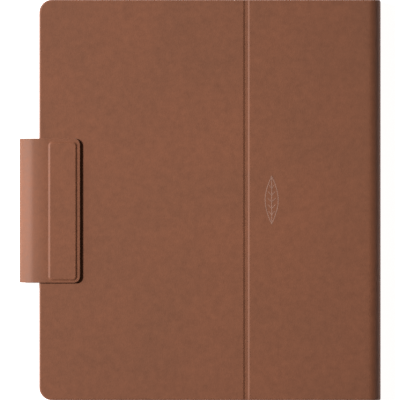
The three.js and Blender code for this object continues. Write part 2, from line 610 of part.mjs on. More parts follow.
function electronics() {
  for (const [word, xs] of Object.entries(CELLS)) {
    add(device, `battery_${word}`, slab(xs, CELL_Y, CELL_Z, 1.2), "cell");
  }
  const wireY = [CELL_Y[1] + POCKET_GAP, BOARD_Y[0] - POCKET_GAP];
  add(device, "battery_cable", slab(CELL_CABLE.x, wireY, CELL_CABLE.z), "flex");

  const tabX = inset(BUTTON_X, -1);
  const mainboard = slab([BOARD_LEFT, BOARD_LEG_X[1]], BOARD_Y, CIRCUIT_Z)
    .add(slab(BOARD_LEG_X, [CELL_Y[0], BOARD_Y[1]], CIRCUIT_Z))
    .add(slab(tabX, [BOARD_Y[0], DEVICE_HALF_Y - 2.9], CIRCUIT_Z));
  add(device, "mainboard", mainboard, "circuit");
  add(device, "processor_shield", slab(...PROCESSOR, ON_CIRCUIT_Z, 1), "steel");
  add(device, "radio_shield", slab(...RADIO, ON_CIRCUIT_Z, 1), "steel");
  add(device, "wifi_antenna", slab(...ANTENNA), "flex");
  for (const [word, xs] of Object.entries(SPEAKERS)) {
    add(device, `speaker_${word}`, slab(xs, SPEAKER_Y, CELL_Z, 1.5), "black");
  }

  const cableLowZ = ON_CIRCUIT_Z[0] + 0.2;
  const cableHighZ = (EPAPER_Z[0] + EPAPER_Z[1]) / 2;
  const cable = [
    [PANEL_X[1] + 0.3, cableHighZ],
    [CABLE_X, cableHighZ],
    [CABLE_X, cableLowZ],
    [CABLE_X - CABLE_LAP, cableLowZ],
  ];
  add(device, "display_cable", sheet(cable, CABLE_THICK, CABLE_Y), "flex");

  holdPlaces().forEach(([x, y], i) => {
    const [xs, ys] = around(x, y, ...HOLD_HALF);
    const zs = [FLOOR_Z + AIR, FLOOR_Z + 1.2];
    add(device, `device_magnet_${i + 1}`, slab(xs, ys, zs, MAGNET_R), "magnet");
  });
}

function powerButton() {
  const flangeX = inset(BUTTON_X, -BUTTON_FLANGE);
  const flangeY = [BUTTON_Y[0] - FLANGE_THICK / 2, BUTTON_Y[0] + FLANGE_THICK / 2];
  const button = slab(BUTTON_X, BUTTON_Y, BUTTON_Z).add(slab(flangeX, flangeY, FLANGE_Z));
  add(device, "power_button", button, "frame");
  const switchX = inset(BUTTON_X, 3);
  const switchY = [BUTTON_Y[0] - 5, BUTTON_Y[0] - 0.85];
  add(device, "power_switch", slab(switchX, switchY, ON_CIRCUIT_Z), "black");
}

backCover();
spine();
frontWide();
frontNarrow();
flap();
rearShell();
frontParts();
chassis();
electronics();
powerButton();
usbPort();

export default eReader;
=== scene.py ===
"""An e-reader lying inside a closed brown leather folio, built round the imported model."""

import json
import math

import bmesh
import bpy
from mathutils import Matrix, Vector


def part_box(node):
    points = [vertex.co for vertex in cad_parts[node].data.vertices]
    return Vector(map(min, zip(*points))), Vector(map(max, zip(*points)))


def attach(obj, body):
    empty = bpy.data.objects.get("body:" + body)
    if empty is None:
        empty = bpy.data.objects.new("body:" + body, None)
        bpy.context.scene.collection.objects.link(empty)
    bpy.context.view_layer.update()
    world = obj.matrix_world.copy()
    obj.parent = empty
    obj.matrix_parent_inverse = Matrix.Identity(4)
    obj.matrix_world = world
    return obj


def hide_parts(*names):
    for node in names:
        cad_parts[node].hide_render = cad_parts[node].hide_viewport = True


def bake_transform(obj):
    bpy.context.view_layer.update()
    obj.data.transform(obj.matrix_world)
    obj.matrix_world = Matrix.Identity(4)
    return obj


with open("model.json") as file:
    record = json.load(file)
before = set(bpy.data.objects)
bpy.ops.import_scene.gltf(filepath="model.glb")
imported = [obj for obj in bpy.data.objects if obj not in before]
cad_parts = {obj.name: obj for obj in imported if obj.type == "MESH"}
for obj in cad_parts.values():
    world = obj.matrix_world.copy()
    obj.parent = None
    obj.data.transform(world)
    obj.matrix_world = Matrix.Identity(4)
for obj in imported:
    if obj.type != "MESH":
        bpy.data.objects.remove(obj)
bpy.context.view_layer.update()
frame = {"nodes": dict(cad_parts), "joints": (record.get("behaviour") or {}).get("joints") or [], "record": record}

# ---- Sizes and places, in metres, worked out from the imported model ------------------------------
MM = 0.001
JOINTS = {joint["name"]: joint for joint in frame["joints"]}

wide_lo, wide_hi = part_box("front_wide_leather")
tab_lo, tab_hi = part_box("flap_tab_leather")

# The folio's outline
FREE_X = wide_lo.x  # free edge of both covers
SPINE_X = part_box("spine_leather")[1].x  # outside of the spine
FLAP_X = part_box("flap_side_leather")[0].x  # outside of the flap where it goes round the pen channel
HALF_Y = wide_hi.y
TOP_Z = wide_hi.z
BOARD_END_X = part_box("front_narrow_board")[1].x  # the boards stop short of the spine's bend
PANEL_SPLIT_X = 60 * MM  # the front leather is made in two pieces that meet on the narrow panel

# Sheets
COVER = wide_hi.z - wide_lo.z  # thickness of one cover
LEATHER = 0.8 * MM
LINING = 0.5 * MM
SHEET_GAP = 0.05 * MM
SKIN = LEATHER + SHEET_GAP + LINING
THIN = SKIN / COVER  # the share of a cover's thickness that is left where it has no board
SHELL = 0.55 * MM  # how thick the turned leather is drawn
CORNER_R = 7.5 * MM
LINING_INSET = 0.72 * MM  # the lining stops this far inside the leather's edge

# Worked edges
EDGE_R = 1.0 * MM
TURNED_IN = 0.7 * MM
TUCK_IN = 0.12 * MM  # the turned edge meets the cover's inner face with a small bevel
TUCK_UP = 0.14 * MM
LINING_EDGE_R = 0.15 * MM
FLAP_EDGE_R = 0.25 * MM
FLAT_RING = 0.3 * MM  # a narrow flat ring beside each rounding, so that flat faces shade flat
SMALLEST_R = 0.2 * MM

# Spine
SPINE_R = 5.5 * MM
SPINE_REACH = 7.2 * MM  # how far across the leather rounds over before it drops down the spine
FLAT_END_X = SPINE_X - SPINE_REACH - 2 * MM  # the leather's last flat station before the spine
BOARD_PAST = 0.3 * MM  # how far past the start of the bend the turned edge stays deep
BOARD_TAPER = 3.0 * MM  # and how far it takes to thin out
LINING_CLEAR = 0.1 * MM  # between the board's end and the lining that rises past it
LINING_RISE_R = 0.9 * MM

# Score line across the front cover
CREASE_X = JOINTS["cover_crease"]["pos_m"][0]
GROOVE_HALF = 1.95 * MM
GROOVE_FLOOR = 0.75 * MM
GROOVE_DEPTH = 0.34 * MM

# Closing flap and its pad
FLAP_Y = (tab_lo.y, tab_hi.y)
FLAP_END_X = tab_hi.x + 0.2 * MM
FLAP_ROOT_X = (FREE_X + 1.5 * MM, FREE_X - 1 * MM)
FLAP_LIFT = 0.03 * MM  # the flap's root lies just above the back cover's outer face
FLAP_LEATHER = 0.75 * MM
FLAP_LINING = LINING * 0.9  # a little thin, so that it clears the front cover
FLAP_LINING_PAST = 0.3 * MM  # the lining reaches a little past the tab's leather
FLAP_LOW_R = 4.5 * MM
TAB_CORNER_R = 3.7 * MM
CROWN = ((0, 0), (7.3, 9), (10.2, 26), (14.7, 40), (19.8, 90))  # mm along the leather, slope in degrees
CROWN_STEP = 0.5  # mm between stations along the crown
PAD_X = (-87.45 * MM, -70.6 * MM)
PAD_Y = (-46.6 * MM, 33.7 * MM)
FLAP_OVER = 0.3 * MM  # air between the front cover and the tab's lining
PAD_RISE = tab_hi.z - (TOP_Z + FLAP_OVER + SKIN)
TAB_TOP_Z = tab_hi.z - PAD_RISE
PAD_SLOPE = 1.2 * MM
PAD_R = 2.4 * MM

# Leaf mark on the narrow panel
MARK_X = 41.35 * MM
MARK_HALF_X = 3.75 * MM
MARK_HALF_Y = 13.9 * MM
MARK_LINE = 0.5 * MM
MARK_ROOT = 0.1 * MM  # how far each line's foot is set into the leather
MARK_PROUD = 0.03 * MM
STEM_SHORT = 0.4 * MM  # the stem stops this far inside the leaf's two tips
VEINS = 5
VEIN_RISE = 2.2 * MM
VEIN_START = -0.62  # where the first pair of veins leaves the stem, as a share of half the leaf
VEIN_PITCH = 0.27
VEIN_REACH = 0.62

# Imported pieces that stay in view
WELD = 0.002 * MM
SOFT_EDGE = 0.25 * MM

# Screen plate
SCREEN_R = 4.2 * MM
SCREEN_EDGE_R = 0.3 * MM
SCREEN_FOOT = 0.4 * MM
RULE_PITCH = 7.0 * MM  # ruled lines on the page it shows
RULE_LINE = 0.22 * MM

# Colours, linear RGB
LEATHER_RGB = (0.178, 0.062, 0.0275)
MARK_RGB = (0.235, 0.125, 0.088)
SUEDE_RGB = (0.135, 0.086, 0.060)
PAPER_RGB = (0.56, 0.56, 0.52)

# Camera and studio: places and sizes in metres, powers in watts
LENS = 400
SENSOR = 36
VIEW_SPAN = 230.5 * MM  # the frame's height at the level of the front cover
KEY_LIGHT = ((-2.73, 0.70, 2.25), (0.64, 0.64), 216)
SIDE_LIGHT = ((-2.59, 0.32, 0.68), (0.97, 0.65), 24)
WORLD_RGB = (1.0, 0.80, 0.66, 1)
WORLD_STRENGTH = 0.10
FLOOR_HALF = 12
FLOOR_DROP = 0.02 * MM
FLOOR_GLOW = 0.925


# ---- Mesh building ------------------------------------------------------------------------------
def arc_station(cx, cz, rx, rz, degrees):
    """A point on an elliptical arc in the XZ plane and its outward normal."""
    a = math.radians(degrees)
    nx, nz = math.cos(a) / rx, math.sin(a) / rz
    length = math.hypot(nx, nz)
    return (cx + rx * math.cos(a), cz + rz * math.sin(a), nx / length, nz / length)


def arc_stations(cx, cz, rx, rz, start, stop, steps):
    """Evenly spaced points of an arc, from the start angle to the stop angle."""
    turn = (stop - start) / steps
    return [arc_station(cx, cz, rx, rz, start + turn * i) for i in range(steps + 1)]


def flat_stations(xs, z):
    """Points of a flat stretch that faces up."""
    return [(x, z, 0.0, 1.0) for x in xs]


def mirrored(stations):
    """The same section turned upside down, for the back cover."""
    return [(x, TOP_Z - z, nx, -nz) for x, z, nx, nz in stations]


def sunk(stations, depth):
    """The section moved inwards along its normals."""
    return [(x - nx * depth, z - nz * depth, nx, nz) for x, z, nx, nz in stations]


def rounded_edge(radius, depth, turned_in, steps=5):
    """Inset and depth pairs down a rounded edge, from the turned-in end to the outer face."""
    end = []
    if turned_in:
        end = [(turned_in, depth), (TUCK_IN, depth), (0.0, depth - TUCK_UP)]
    round_part = []
    for i in range(steps + 1):
        a = math.radians(90 * i / steps)
        round_part.append((radius * (1 - math.cos(a)), radius * (1 - math.sin(a))))
    return end + round_part + [(radius + FLAT_RING, 0.0)]


def smooth_step(t):
    """From 0 to 1 with flat ends."""
    t = min(max(t, 0.0), 1.0)
    return t * t * (3 - 2 * t)


def rounded_rectangle(xs, ys, r, grow=0.0, steps=6):
    """Corner points of a rounded rectangle, counter-clockwise, grown outwards by an allowance."""
    x0, x1, y0, y1 = xs[0] - grow, xs[1] + grow, ys[0] - grow, ys[1] + grow
    r = max(r + grow, SMALLEST_R)
    points = []
    for cx, cy, start in (
        (x1 - r, y0 + r, -90), (x1 - r, y1 - r, 0), (x0 + r, y1 - r, 90), (x0 + r, y0 + r, 180),
    ):
        for i in range(steps + 1):
            a = math.radians(start + 90 * i / steps)
            points.append((cx + r * math.cos(a), cy + r * math.sin(a)))
    return points


def loop_edges(bm, verts):
    """The edges of a closed loop of points."""
    pairs = zip(verts, verts[1:] + verts[:1])
    return [bm.edges.get(pair) or bm.edges.new(pair) for pair in pairs]


def bridge(bm, first, second):
    """Quads between two rows of the same length."""
    for a, b, c, d in zip(first, first[1:], second[1:], second):
        bm.faces.new((a, b, c, d))


def bridge_rings(bm, rings):
    """Quads between each closed ring of points and the next."""
    for first, second in zip(rings, rings[1:]):
        bridge(bm, first + first[:1], second + second[:1])


def object_of(name, bm):
    """A new object in the scene that holds the built mesh."""
    mesh = bpy.data.meshes.new(name)
    bm.to_mesh(mesh)
    bm.free()
    obj = bpy.data.objects.new(name, mesh)
    bpy.context.scene.collection.objects.link(obj)
    return obj


def edge_row(bm, stations, y, inset, depth, side, depths, thin):
    """One row along a worked edge. The share of its depth up to thin goes along the normals, and
    the rest straight down through the cover."""
    up = stations[0][3]
    row = []
    for (x, z, nx, nz), share in zip(stations, depths):
        along = depth * min(share, thin)
        down = up * depth * max(share - thin, 0.0)
        row.append(bm.verts.new((x - nx * along, y - side * inset, z - nz * along - down)))
    return row


def free_row(bm, free_x, corner_r, sign, ys, flat_z, up, inset, depth, steps=10):
    """The free end of a sheet, round both corners, from the low Y side to the high Y side."""
    z = flat_z - up * depth
    cx = free_x - sign * corner_r
    r = corner_r - inset
    row = []
    for cy, start in ((ys[0] + corner_r, -90), (ys[1] - corner_r, 0)):
        for i in range(steps + 1):
            a = math.radians(start + 90 * i / steps)
            row.append(bm.verts.new((cx + sign * r * math.cos(a), cy + r * math.sin(a), z)))
    return row


def skin(name, stations, ys, edge, thickness, free=None, depths=None, pad=None, thin=1.0):
    """A bent sheet with worked edges: a flat block with a free rounded end, where free gives
    (free_x, corner_r, sign), then the stations of its section, carried between the two ys."""
    bm = bmesh.new()
    depths = depths or [1.0] * len(stations)
    _, z0, _, up = stations[0]
    lows, highs, frees = [], [], []
    for inset, depth in edge:
        lows.append(edge_row(bm, stations, ys[0], inset, depth, -1, depths, thin))
        highs.append(edge_row(bm, stations, ys[1], inset, depth, 1, depths, thin))
        if free:
            frees.append(free_row(bm, *free, ys, z0, up, inset, depth * depths[0]))
    for rows in (lows, highs):
        for first, second in zip(rows, rows[1:]):
            bridge(bm, first, second)
    bridge(bm, lows[-1], highs[-1])
    if free:
        rings = [[low[0], *end, high[0]] for low, end, high in zip(lows, frees, highs)]
        for first, second in zip(rings, rings[1:]):
            bridge(bm, first, second)
        if pad:
            rim = loop_edges(bm, rings[-1])
            foot = pad(bm)
            bmesh.ops.triangle_fill(bm, use_beauty=True, edges=rim + foot)
        else:
            bm.faces.new(rings[-1])
    bmesh.ops.remove_doubles(bm, verts=bm.verts, dist=1e-7)
    bmesh.ops.recalc_face_normals(bm, faces=bm.faces)
    face_outwards(bm, stations)
    return thickened(name, bm, thickness)


def face_outwards(bm, stations):
    """Turns the sheet so that its largest face looks the way that its nearest station says."""
    face = max(bm.faces, key=lambda f: f.calc_area())
    middle = face.calc_center_median()
    nearest = min(stations, key=lambda s: abs(s[0] - middle.x) + abs(s[1] - middle.z))
    if face.normal.dot(Vector((nearest[2], 0, nearest[3]))) < 0:
        bmesh.ops.reverse_faces(bm, faces=bm.faces)


def thickened(name, bm, thickness):
    """The open surface as a closed sheet that grows inwards."""
    obj = object_of(name, bm)
    solid = obj.modifiers.new("sheet", "SOLIDIFY")
    solid.thickness = thickness
    solid.offset = -1
    solid.use_even_offset = True
    applied(obj)
    smooth(obj)
    return obj


def applied(obj):
    """Turns the object's modifiers into its mesh."""
    bpy.context.view_layer.update()
    shown = obj.evaluated_get(bpy.context.evaluated_depsgraph_get())
    mesh = bpy.data.meshes.new_from_object(shown)
    mesh.name = obj.name
    obj.modifiers.clear()
    obj.data = mesh


def smooth(obj, degrees=32):
    """Smooth shading, with a crease where the surface turns by more than the angle."""
    obj.data.polygons.foreach_set("use_smooth", [True] * len(obj.data.polygons))
    obj.data.set_sharp_from_angle(angle=math.radians(degrees))


# ---- Sections of the folio's skin ---------------------------------------------------------------
def groove_height(x):
    """How far the front face dips at x."""
    away = abs(x - CREASE_X)
    return GROOVE_DEPTH * (1 - smooth_step((away - GROOVE_FLOOR) / (GROOVE_HALF - GROOVE_FLOOR)))


def groove_stations():
    """The score line across the front cover, with the leather flat on both sides of it."""
    reach = GROOVE_HALF + FLAT_RING
    count = 24
    stations = []
    for i in range(count + 1):
        x = CREASE_X - reach + 2 * reach * i / count
        stations.append((x, TOP_Z - groove_height(x), 0.0, 1.0))
    return stations


def spine_bend(steps=14):
    """From the flat of the front cover round to the middle of the spine."""
    cx, cz = SPINE_X - SPINE_REACH, TOP_Z - SPINE_R
    stations = arc_stations(cx, cz, SPINE_REACH, SPINE_R, 90, 0, steps)
    return stations + [(SPINE_X, TOP_Z / 2, 1.0, 0.0)]


def board_depths(stations):
    """The turned edge is as deep as the cover where there is a board, and as thin as the skin
    round the spine."""
    start = SPINE_X - SPINE_REACH + BOARD_PAST
    return [1 - (1 - THIN) * smooth_step((x - start) / BOARD_TAPER) for x, *_ in stations]


COVER_YS = (-HALF_Y, HALF_Y)
COVER_EDGE = rounded_edge(EDGE_R, COVER, TURNED_IN)
FREE_END = (FREE_X, CORNER_R, -1)
LINING_YS = (-HALF_Y + LINING_INSET, HALF_Y - LINING_INSET)
LINING_EDGE = rounded_edge(LINING_EDGE_R, LINING_EDGE_R, 0, 3)
LINING_END = (FREE_X + LINING_INSET, CORNER_R - LINING_INSET, -1)


def bend_back_to_spine(obj):
    """Bakes the object's transform into its mesh, for the piece at the bend between the back cover, which the
    reader's body carries, and the spine; it does not make it bend.
    """
    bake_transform(obj)


def bend_spine_to_front(obj):
    """Bakes the object's transform into its mesh, for the piece at the bend between the spine and the front
    cover's narrow panel; it does not make it bend.
    """
    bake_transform(obj)


def bend_at_crease(obj):
    """Bakes the object's transform into its mesh, for the piece at the fold between the front cover's two panels;
    it does not make it fold.
    """
    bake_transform(obj)


def back_leather():
    """The back cover's leather and the lower half of the spine."""
    flat = flat_stations([FREE_X + CORNER_R, FLAT_END_X], TOP_Z)
    stations = mirrored(flat + spine_bend())
    obj = skin("back_leather", stations, COVER_YS, COVER_EDGE, SHELL, FREE_END,
               board_depths(stations), thin=THIN)
    bend_back_to_spine(obj)
    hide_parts("back_cover_leather")
    return obj


def spine_front_leather():
    """The upper half of the spine and the leather of the narrow panel beside it."""
    stations = flat_stations([PANEL_SPLIT_X, FLAT_END_X], TOP_Z) + spine_bend()
    obj = skin("spine_leather_upper", stations, COVER_YS, COVER_EDGE, SHELL,
               depths=board_depths(stations), thin=THIN)
    bend_spine_to_front(obj)
    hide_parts("spine_leather", "front_narrow_leather")
    return obj


def front_leather():
    """The rest of the front cover's leather, with the score line in it."""
    start = flat_stations([FREE_X + CORNER_R], TOP_Z)
    stations = start + groove_stations() + flat_stations([PANEL_SPLIT_X], TOP_Z)
    depths = [(COVER - (TOP_Z - z)) / COVER for _, z, _, _ in stations]
    obj = skin("front_leather", stations, COVER_YS, COVER_EDGE, SHELL, FREE_END, depths)
    bend_at_crease(obj)
    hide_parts("front_wide_leather")
    return obj


def lining_bend():
    """The lining's outer side: down past the board's end and round inside the spine."""
    depth = LEATHER + SHEET_GAP
    r = LINING_RISE_R
    inner_z = TOP_Z - COVER + LINING
    rise_x = BOARD_END_X + LINING_CLEAR + LINING
    foot = arc_stations(rise_x - r, inner_z + r, r, r, -90, 0, 4)
    up_turn = [(x, z, -nx, -nz) for x, z, nx, nz in foot]
    outer = arc_stations(SPINE_X - SPINE_REACH, TOP_Z - SPINE_R, SPINE_REACH, SPINE_R, 68, 0, 9)
    return up_turn + sunk(outer, depth) + [(SPINE_X - depth, TOP_Z / 2, 1.0, 0.0)]


def lining_skins():
    """The lining of both covers and the spine, cut and bent as the leather is."""
    inner_z = TOP_Z - COVER + LINING
    flat = flat_stations([FREE_X + CORNER_R], inner_z)
    bend = lining_bend()

    back = skin("back_lining", mirrored(flat + bend), LINING_YS, LINING_EDGE, LINING, LINING_END)
    bend_back_to_spine(back)
    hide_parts("back_cover_lining")

    split = flat_stations([PANEL_SPLIT_X], inner_z)
    upper = skin("spine_lining_upper", split + bend, LINING_YS, LINING_EDGE, LINING)
    bend_spine_to_front(upper)
    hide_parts("spine_lining", "front_narrow_lining")

    across = [CREASE_X + GROOVE_HALF * (i / 4 - 1) for i in range(9)]
    stations = flat + flat_stations(across + [PANEL_SPLIT_X], inner_z)
    front = skin("front_lining", stations, LINING_YS, LINING_EDGE, LINING, LINING_END)
    bend_at_crease(front)
    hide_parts("front_wide_lining")
    return [back, upper, front]


# ---- The closing flap ---------------------------------------------------------------------------
FLAP_EDGE = rounded_edge(FLAP_EDGE_R, FLAP_EDGE_R, 0, 3)


def crown_slope(along):
    """Slope in degrees, this many millimetres along the crown's leather."""
    for (a, slope_a), (b, slope_b) in zip(CROWN, CROWN[1:]):
        if along <= b:
            return slope_a + (slope_b - slope_a) * (along - a) / (b - a)
    return CROWN[-1][1]


def crown_stations():
    """The tab sloping away to the left and over to the flap's upright side."""
    x, z = 0.0, TAB_TOP_Z
    stations = [(x, z, 0.0, 1.0)]
    for i in range(int(CROWN[-1][0] / CROWN_STEP)):
        middle = math.radians(crown_slope((i + 0.5) * CROWN_STEP))
        x -= math.cos(middle) * CROWN_STEP * MM
        z -= math.sin(middle) * CROWN_STEP * MM
        slope = math.radians(crown_slope((i + 1) * CROWN_STEP))
        stations.append((x, z, -math.sin(slope), math.cos(slope)))
    return [(FLAP_X + px - x, pz, nx, nz) for px, pz, nx, nz in stations]


FLAP_SPLIT_Z = crown_stations()[-1][1]  # height of the flap's outermost line


def flap_low_stations():
    """From the flap's root on the back cover round to its outermost line."""
    cx, cz = FLAP_X + FLAP_LOW_R, FLAP_SPLIT_Z
    root = [(x, FLAP_LIFT, 0.0, -1.0) for x in FLAP_ROOT_X]
    return root + arc_stations(cx, cz, FLAP_LOW_R, FLAP_SPLIT_Z, 265, 180, 12)


def flap_high_stations():
    """From the tab over the crown to the flap's outermost line."""
    crown = crown_stations()
    return flat_stations([crown[0][0] + FLAT_RING], TAB_TOP_Z) + crown


def pad_rings(bm):
    """The raised pad on the tab. Gives back the edges of its foot."""
    steps = 6
    rings = []
    grows = [FLAT_RING] + [-PAD_SLOPE * i / steps for i in range(steps + 1)]
    for grow in grows + [-PAD_SLOPE - FLAT_RING]:
        z = TAB_TOP_Z + PAD_RISE * smooth_step(-grow / PAD_SLOPE)
        outline = rounded_rectangle(PAD_X, PAD_Y, PAD_R, grow)
        rings.append([bm.verts.new((x, y, z)) for x, y in outline])
    bridge_rings(bm, rings)
    bm.faces.new(rings[-1])
    return loop_edges(bm, rings[0])


def bend_flap_root(obj):
    """Bakes the object's transform into its mesh, for the piece at the bend between the back cover and the flap's
    upright side; it does not make it bend.
    """
    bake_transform(obj)


def bend_flap_crown(obj):
    """Bakes the object's transform into its mesh, for the piece at the bend between the flap's upright side and
    its tab; it does not make it bend.
    """
    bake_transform(obj)


def flap_leathers():
    """The flap's outer skin, in two pieces that meet at its outermost line."""
    low = skin("flap_leather_lower", flap_low_stations(), FLAP_Y, FLAP_EDGE, FLAP_LEATHER)
    bend_flap_root(low)
    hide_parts("flap_side_leather")

    high = skin("flap_leather_upper", flap_high_stations(), FLAP_Y, FLAP_EDGE, FLAP_LEATHER,
                (FLAP_END_X, TAB_CORNER_R, 1), pad=pad_rings)
    bend_flap_crown(high)
    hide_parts("flap_tab_leather")
    return [low, high]


def flap_linings():
    """The flap's lining, under its leather."""
    depth = LEATHER + SHEET_GAP
    low = skin("flap_lining_lower", sunk(flap_low_stations()[1:], depth), FLAP_Y, LINING_EDGE,
               FLAP_LINING)
    bend_flap_root(low)
    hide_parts("flap_side_lining", "flap_anchor_lining")

    high = skin("flap_lining_upper", sunk(flap_high_stations(), depth), FLAP_Y, LINING_EDGE,
                FLAP_LINING, (FLAP_END_X + FLAP_LINING_PAST, TAB_CORNER_R, 1))
    bend_flap_crown(high)
    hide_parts("flap_tab_lining")
    return [low, high]


# ---- The mark on the narrow panel: a plain leaf in thin raised lines ----------------------------
def ribbon(bm, points, width, z, proud):
    """A thin raised line along points, as a closed bar with bevelled top edges."""
    half = width / 2
    profile = [(-half, -MARK_ROOT), (-half, 0.0), (-half * 0.6, proud), (half * 0.6, proud),
               (half, 0.0), (half, -MARK_ROOT)]
    rows = []
    for i, (x, y) in enumerate(points):
        before, after = points[max(i - 1, 0)], points[min(i + 1, len(points) - 1)]
        along = Vector((after[0] - before[0], after[1] - before[1])).normalized()
        across = Vector((along.y, -along.x))
        rows.append([bm.verts.new((x + across.x * u, y + across.y * u, z + v)) for u, v in profile])
    bridge_rings(bm, rows)
    bm.faces.new(rows[0])
    bm.faces.new(rows[-1])


def leaf_lines():
    """The leaf's two sides, its stem and its pairs of veins, as lists of points."""
    count = 24
    sides = []
    for side in (-1, 1):
        line = []
        for i in range(count + 1):
            y = MARK_HALF_Y * (2 * i / count - 1)
            line.append((MARK_X + side * MARK_HALF_X * math.cos(math.pi * y / (2 * MARK_HALF_Y)), y))
        sides.append(line)
    stem = [(MARK_X, -MARK_HALF_Y + STEM_SHORT), (MARK_X, MARK_HALF_Y - STEM_SHORT)]
    veins = []
    for i in range(VEINS):
        y = MARK_HALF_Y * (VEIN_START + VEIN_PITCH * i)
        tip_y = y + VEIN_RISE
        reach = VEIN_REACH * MARK_HALF_X * math.cos(math.pi * tip_y / (2 * MARK_HALF_Y))
        veins += [[(MARK_X, y), (MARK_X + side * reach, tip_y)] for side in (-1, 1)]
    return sides, stem, veins


def cover_mark():
    """All the leaf's lines as one mesh. Each stands a hair prouder than the one before it, so
    that no two tops lie in one plane."""
    sides, stem, veins = leaf_lines()
    bm = bmesh.new()
    for i, line in enumerate(sides + [stem] + veins):
        width = MARK_LINE * 0.8 if line in veins else MARK_LINE
        ribbon(bm, line, width, TOP_Z, MARK_PROUD + 0.002 * MM * i)
    bmesh.ops.recalc_face_normals(bm, faces=bm.faces)
    obj = object_of("cover_mark", bm)
    smooth(obj)
    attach(obj, "front_narrow")
    return obj


# ---- The device's screen ------------------------------------------------------------------------
def screen_layers():
    """The lens, touch sensor and light guide laminated into one clear plate."""
    lens_lo, lens_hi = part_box("cover_lens")
    guide_lo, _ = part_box("light_guide")
    xs, ys = (lens_lo.x, lens_hi.x), (lens_lo.y, lens_hi.y)
    steps = 4
    levels = [(-SCREEN_FOOT, guide_lo.z), (0.0, guide_lo.z), (0.0, lens_hi.z - SCREEN_EDGE_R)]
    for i in range(1, steps + 1):
        a = math.radians(90 * i / steps)
        drop = SCREEN_EDGE_R * (1 - math.sin(a))
        levels.append((-SCREEN_EDGE_R * (1 - math.cos(a)), lens_hi.z - drop))
    levels.append((-SCREEN_EDGE_R - FLAT_RING, lens_hi.z))
    bm = bmesh.new()
    rings = []
    for grow, z in levels:
        outline = rounded_rectangle(xs, ys, SCREEN_R, grow)
        rings.append([bm.verts.new((x, y, z)) for x, y in outline])
    bridge_rings(bm, rings)
    bm.faces.new(rings[0])
    bm.faces.new(rings[-1])
    bmesh.ops.recalc_face_normals(bm, faces=bm.faces)
    obj = object_of("screen_layers", bm)
    smooth(obj)
    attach(obj, "reader")
    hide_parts("cover_lens", "touch_sensor", "light_guide")
    return obj


# ---- Materials ----------------------------------------------------------------------------------
class Shader:
    """A small helper that adds nodes to one material and links them."""

    def __init__(self, name):
        self.material = bpy.data.materials.new(name)
        self.material.use_nodes = True
        self.tree = self.material.node_tree
        self.bsdf = self.tree.nodes["Principled BSDF"]
        self.coords = self.add("ShaderNodeTexCoord").outputs["Object"]

    def add(self, kind, **settings):
        node = self.tree.nodes.new(kind)
        for key, value in settings.items():
            setattr(node, key, value)
        return node

    def link(self, source, target):
        self.tree.links.new(source, target)

    def noise(self, scale, detail=3.0, roughness=0.55, stretch=None):
        """Cloudy noise in the object's own space, in periods per metre."""
        node = self.add("ShaderNodeTexNoise")
        node.inputs["Scale"].default_value = scale
        node.inputs["Detail"].default_value = detail
        node.inputs["Roughness"].default_value = roughness
        self.link(self.stretched(stretch), node.inputs["Vector"])
        return node.outputs["Fac"]

    def cells(self, scale, feature="F1", randomness=1.0):
        """Distances in a cell pattern, in cells per metre."""
        node = self.add("ShaderNodeTexVoronoi", feature=feature)
        node.inputs["Scale"].default_value = scale
        node.inputs["Randomness"].default_value = randomness
        self.link(self.coords, node.inputs["Vector"])
        return node.outputs["Distance"]

    def stretched(self, stretch):
        if not stretch:
            return self.coords
        node = self.add("ShaderNodeMapping")
        node.inputs["Scale"].default_value = stretch
        self.link(self.coords, node.inputs["Vector"])
        return node.outputs["Vector"]

    def ranged(self, source, low, high, out_low=0.0, out_high=1.0):
        """The source stretched from one range to another, and held at its ends."""
        node = self.add("ShaderNodeMapRange")
        node.inputs["From Min"].default_value = low
        node.inputs["From Max"].default_value = high
        node.inputs["To Min"].default_value = out_low
        node.inputs["To Max"].default_value = out_high
        self.link(source, node.inputs["Value"])
        return node.outputs["Result"]

    def math(self, operation, first, second):
        node = self.add("ShaderNodeMath", operation=operation)
        for socket, value in zip(node.inputs, (first, second)):
            if isinstance(value, (int, float)):
                socket.default_value = value
            else:
                self.link(value, socket)
        return node.outputs["Value"]

    def mix(self, factor, first, second, blend="MIX"):
        """Two colours mixed by a factor; each may be a value, a colour or a socket."""
        node = self.add("ShaderNodeMix", data_type="RGBA", blend_type=blend)
        sockets = (node.inputs[0], node.inputs[6], node.inputs[7])  # factor and the two colours
        for socket, value in zip(sockets, (factor, first, second)):
            if isinstance(value, (int, float)):
                socket.default_value = value
            elif isinstance(value, tuple):
                socket.default_value = (*value, 1.0)
            else:
                self.link(value, socket)
        return node.outputs[2]

    def bump(self, height, strength, distance, normal=None):
        node = self.add("ShaderNodeBump")
        node.inputs["Strength"].default_value = strength
        node.inputs["Distance"].default_value = distance
        self.link(height, node.inputs["Height"])
        if normal:
            self.link(normal, node.inputs["Normal"])
        return node.outputs["Normal"]

    def colour(self, value):
        self.link(value, self.bsdf.inputs["Base Color"])

    def roughness(self, value):
        if isinstance(value, float):
            self.bsdf.inputs["Roughness"].default_value = value
        else:
            self.link(value, self.bsdf.inputs["Roughness"])

    def set(self, **values):
        for key, value in values.items():
            self.bsdf.inputs[key.replace("_", " ")].default_value = value


def shade(rgb, by):
    """A colour made darker or lighter."""
    return tuple(c * by for c in rgb)


